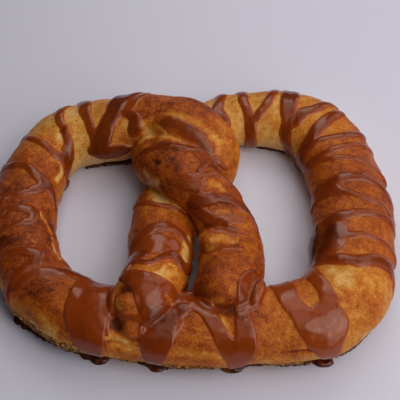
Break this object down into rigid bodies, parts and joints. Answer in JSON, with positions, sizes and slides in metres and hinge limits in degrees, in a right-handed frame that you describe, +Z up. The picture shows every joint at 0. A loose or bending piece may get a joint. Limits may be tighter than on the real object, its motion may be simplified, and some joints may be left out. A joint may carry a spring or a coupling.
{
  "type": "soft pretzel",
  "caption": "Twisted soft pretzel of thick baked dough with a thick front and its two rope ends resting on it, covered with thick runs of caramel sauce.",
  "frame": {"origin": "middle of the pretzel's outline, on the surface it rests on", "axes": "+X to the pretzel's right, +Y from its thick front to the twist at its back, +Z up"},
  "size_m": [0.1709, 0.1402, 0.0341],
  "materials": {
    "crust": "baked, egg-washed golden brown crust with a satin sheen",
    "caramel": "set caramel sauce, smooth and semi-gloss"
  },
  "bodies": {
    "root": {"pretzel": "crust"}
  },
  "joints": []
}
